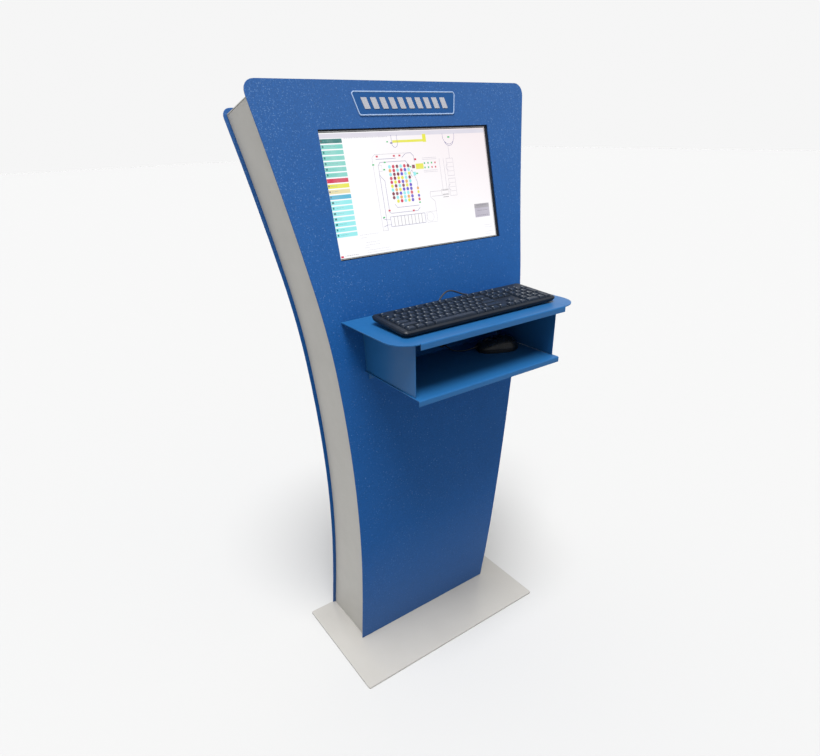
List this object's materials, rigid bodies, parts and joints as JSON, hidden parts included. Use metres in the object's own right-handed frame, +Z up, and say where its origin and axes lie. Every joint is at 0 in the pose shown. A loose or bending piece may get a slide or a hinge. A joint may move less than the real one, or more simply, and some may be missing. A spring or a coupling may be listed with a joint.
{
  "type": "information kiosk",
  "caption": "Free-standing kiosk with bent front and rear panels, a tilted display, a keyboard shelf with a pigeonhole, a keyboard and a mouse.",
  "frame": {"origin": "middle of the base plate's underside, on the floor", "axes": "+Z up, the user stands at -Y and faces +Y, +X to the user's right"},
  "size_m": [0.761, 0.5059, 1.5189],
  "materials": {
    "blue_powder_coat": "fine textured metallic powder coat",
    "shelf_powder_coat": "lighter blue textured powder coat",
    "grey_powder_coat": "warm light grey powder coat",
    "base_powder_coat": "light grey semi-gloss powder coat",
    "strip_plastic": "light grey moulded plastic",
    "badge_metal": "silver rim round a blue enamel field",
    "zinc_steel": "zinc plated",
    "bright_steel": "plain bright steel",
    "black_plastic": "black moulded plastic, fine texture",
    "key_plastic": "black satin key tops",
    "screen_glass": "lit display panel behind a hard coated film",
    "black_rubber": "soft black"
  },
  "bodies": {
    "cabinet": {"badge_plate": "badge_metal", "base_plate": "base_powder_coat", "computer_case": "black_plastic", "cross_member": "zinc_steel", "display_back_cover": "black_plastic", "display_bezel": "black_plastic", "display_panel": "screen_glass", "display_rail_lower": "zinc_steel", "display_rail_upper": "zinc_steel", "foot_frame": "zinc_steel", "front_panel": "blue_powder_coat", "hinge_frame_leaf": "bright_steel", "hinge_pin": "bright_steel", "keyboard_base": "black_plastic", "keyboard_cord": "black_rubber", "keyboard_cover": "black_plastic", "keyboard_grommet": "black_rubber", "keyboard_strain_relief": "black_rubber", "mains_inlet": "black_plastic", "mouse_base": "black_plastic", "mouse_cord": "black_rubber", "mouse_grommet": "black_rubber", "mouse_shell": "black_plastic", "mouse_strain_relief": "black_rubber", "power_strip": "strip_plastic", "rear_panel": "blue_powder_coat", "shelf_bolt_1": "bright_steel", "shelf_bolt_2": "bright_steel", "shelf_bolt_3": "bright_steel", "shelf_bolt_4": "bright_steel", "shelf_cheek_left": "shelf_powder_coat", "shelf_cheek_right": "shelf_powder_coat", "shelf_floor": "shelf_powder_coat", "shelf_grommet": "black_rubber", "shelf_top": "shelf_powder_coat", "side_panel_left": "grey_powder_coat", "side_panel_right": "grey_powder_coat", "top_cap": "grey_powder_coat"},
    "service_door": {"service_door": "blue_powder_coat", "hinge_door_leaf": "bright_steel", "lock_barrel": "bright_steel", "fan_frame": "black_plastic"},
    "lock": {"lock_plug": "bright_steel", "lock_cam": "zinc_steel"},
    "fan_rotor": {"fan_rotor": "black_plastic"},
    "function_keys": {"function_keys": "key_plastic"},
    "number_keys": {"number_keys": "key_plastic"},
    "upper_letter_keys": {"upper_letter_keys": "key_plastic"},
    "home_letter_keys": {"home_letter_keys": "key_plastic"},
    "lower_letter_keys": {"lower_letter_keys": "key_plastic"},
    "modifier_keys": {"modifier_keys": "key_plastic"},
    "space_bar": {"space_bar": "key_plastic"},
    "return_key": {"return_key": "key_plastic"},
    "pad_plus_key": {"pad_plus_key": "key_plastic"},
    "pad_enter_key": {"pad_enter_key": "key_plastic"},
    "keyboard_foot_left": {"keyboard_foot_left": "black_plastic"},
    "keyboard_foot_right": {"keyboard_foot_right": "black_plastic"},
    "mouse_button_left": {"mouse_button_left": "black_plastic"},
    "mouse_button_right": {"mouse_button_right": "black_plastic"},
    "mouse_wheel": {"mouse_wheel": "black_rubber"}
  },
  "joints": [
    {"name": "door_swing", "type": "hinge", "parent": "cabinet", "child": "service_door", "pos_m": [0.209, 0.17662, 1.25913], "axis": [0, -0.2406, -0.9706], "range_deg": [0, 110]},
    {"name": "lock_turn", "type": "hinge", "parent": "service_door", "child": "lock", "pos_m": [-0.185, 0.17312, 1.26], "axis": [0, -0.9706, 0.2406], "range_deg": [0, 90]},
    {"name": "fan_spin", "type": "hinge", "parent": "service_door", "child": "fan_rotor", "pos_m": [0, 0.1607, 1.26308], "axis": [0, 0.9706, -0.2406], "continuous": true},
    {"name": "function_keys_press", "type": "slide", "parent": "cabinet", "child": "function_keys", "axis": [0, 0.0523, -0.9986], "range_m": [0, 0.003], "stiffness_N_per_m": 1500, "springref_m": -0.0006},
    {"name": "number_keys_press", "type": "slide", "parent": "cabinet", "child": "number_keys", "axis": [0, 0.0523, -0.9986], "range_m": [0, 0.003], "stiffness_N_per_m": 1500, "springref_m": -0.0006},
    {"name": "upper_letter_keys_press", "type": "slide", "parent": "cabinet", "child": "upper_letter_keys", "axis": [0, 0.0523, -0.9986], "range_m": [0, 0.003], "stiffness_N_per_m": 1500, "springref_m": -0.0006},
    {"name": "home_letter_keys_press", "type": "slide", "parent": "cabinet", "child": "home_letter_keys", "axis": [0, 0.0523, -0.9986], "range_m": [0, 0.003], "stiffness_N_per_m": 1500, "springref_m": -0.0006},
    {"name": "lower_letter_keys_press", "type": "slide", "parent": "cabinet", "child": "lower_letter_keys", "axis": [0, 0.0523, -0.9986], "range_m": [0, 0.003], "stiffness_N_per_m": 1500, "springref_m": -0.0006},
    {"name": "modifier_keys_press", "type": "slide", "parent": "cabinet", "child": "modifier_keys", "axis": [0, 0.0523, -0.9986], "range_m": [0, 0.003], "stiffness_N_per_m": 1500, "springref_m": -0.0006},
    {"name": "space_bar_press", "type": "slide", "parent": "cabinet", "child": "space_bar", "axis": [0, 0.0523, -0.9986], "range_m": [0, 0.003], "stiffness_N_per_m": 400, "springref_m": -0.0006},
    {"name": "return_key_press", "type": "slide", "parent": "cabinet", "child": "return_key", "axis": [0, 0.0523, -0.9986], "range_m": [0, 0.003], "stiffness_N_per_m": 400, "springref_m": -0.0006},
    {"name": "pad_plus_key_press", "type": "slide", "parent": "cabinet", "child": "pad_plus_key", "axis": [0, 0.0523, -0.9986], "range_m": [0, 0.003], "stiffness_N_per_m": 400, "springref_m": -0.0006},
    {"name": "pad_enter_key_press", "type": "slide", "parent": "cabinet", "child": "pad_enter_key", "axis": [0, 0.0523, -0.9986], "range_m": [0, 0.003], "stiffness_N_per_m": 400, "springref_m": -0.0006},
    {"name": "keyboard_foot_left_fold", "type": "hinge", "parent": "cabinet", "child": "keyboard_foot_left", "pos_m": [-0.178, -0.11607, 1.03554], "axis": [-1, 0, 0], "range_deg": [0, 80]},
    {"name": "keyboard_foot_right_fold", "type": "hinge", "parent": "cabinet", "child": "keyboard_foot_right", "pos_m": [0.192, -0.11607, 1.03554], "axis": [-1, 0, 0], "range_deg": [0, 80]},
    {"name": "mouse_button_left_click", "type": "hinge", "parent": "cabinet", "child": "mouse_button_left", "pos_m": [0.12773, -0.14528, 0.93853], "axis": [-0.3746, -0.9272, 0], "range_deg": [0, 1], "stiffness_Nm_per_rad": 0.3, "springref_deg": -3.44},
    {"name": "mouse_button_right_click", "type": "hinge", "parent": "cabinet", "child": "mouse_button_right", "pos_m": [0.12773, -0.14528, 0.93853], "axis": [-0.3746, -0.9272, 0], "range_deg": [0, 1], "stiffness_Nm_per_rad": 0.3, "springref_deg": -3.44},
    {"name": "mouse_wheel_roll", "type": "hinge", "parent": "cabinet", "child": "mouse_wheel", "pos_m": [0.10604, -0.13651, 0.9257], "axis": [-0.3746, -0.9272, 0], "continuous": true}
  ]
}
